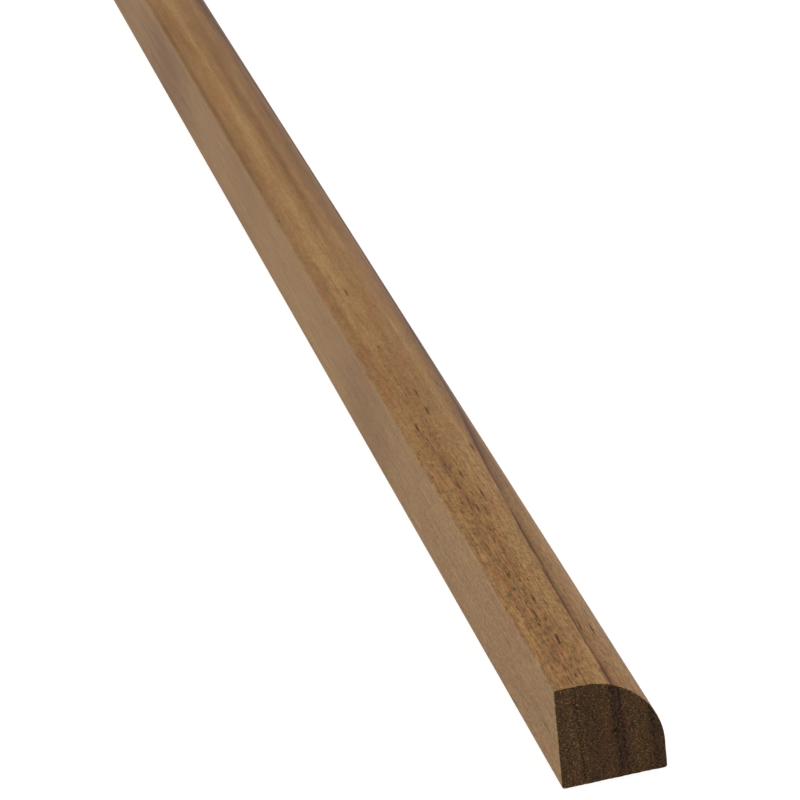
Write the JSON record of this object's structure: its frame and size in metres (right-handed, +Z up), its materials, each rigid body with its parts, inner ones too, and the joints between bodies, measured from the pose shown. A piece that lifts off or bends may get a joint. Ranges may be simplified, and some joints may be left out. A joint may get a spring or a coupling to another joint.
{
  "type": "quarter round moulding",
  "caption": "Straight length of solid wood quarter-round moulding with a flat back, a flat base and one rounded long edge, for trimming the inside corner of a panel and a deck or shelf.",
  "frame": {"origin": "middle of the flat base: half way along the length and half way across the width, on the face that lies on the deck or shelf", "axes": "+X along the length and the grain, +Y square out of the flat back, the rounded edge faces -Y and +Z, +Z up"},
  "size_m": [1.524, 0.0184, 0.019],
  "materials": {
    "teak": "planed and sanded, lightly oiled, satin; dark sawn end grain"
  },
  "bodies": {
    "root": {"quarter_round_strip": "teak"}
  },
  "joints": []
}
